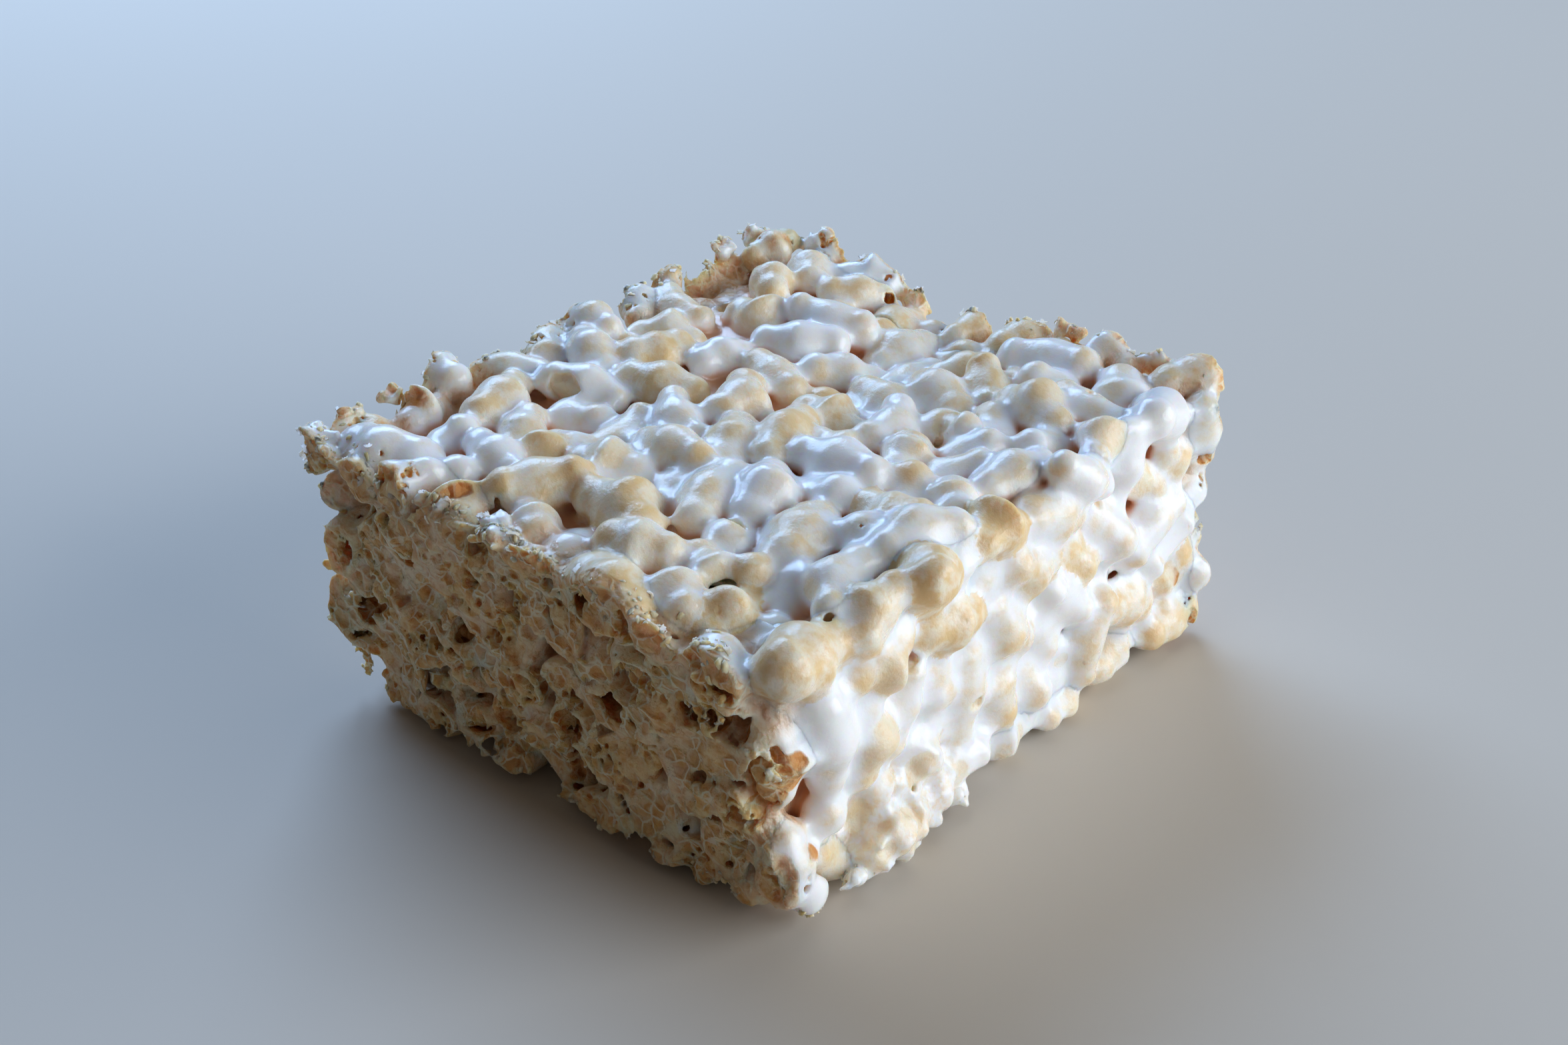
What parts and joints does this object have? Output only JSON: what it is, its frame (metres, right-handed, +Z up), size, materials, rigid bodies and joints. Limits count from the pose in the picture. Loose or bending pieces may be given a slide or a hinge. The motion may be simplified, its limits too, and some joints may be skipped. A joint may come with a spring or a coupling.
{
  "type": "rice crispy treat",
  "caption": "Square block of puffed rice crisps bound with melted marshmallow, cut from a pan, resting on its flat underside.",
  "frame": {"origin": "middle of the underside, on the surface the treat rests on", "axes": "+Z up; X along the side that lay against the pan, which faces -Y; the sides at -X, +X and +Y were cut"},
  "size_m": [0.058, 0.0534, 0.0258],
  "materials": {
    "marshmallow_rice": "white marshmallow over pale golden puffed rice, semi-gloss film on the top and the pan side, open crumb on the cut sides"
  },
  "bodies": {
    "root": {"treat": "marshmallow_rice"}
  },
  "joints": []
}
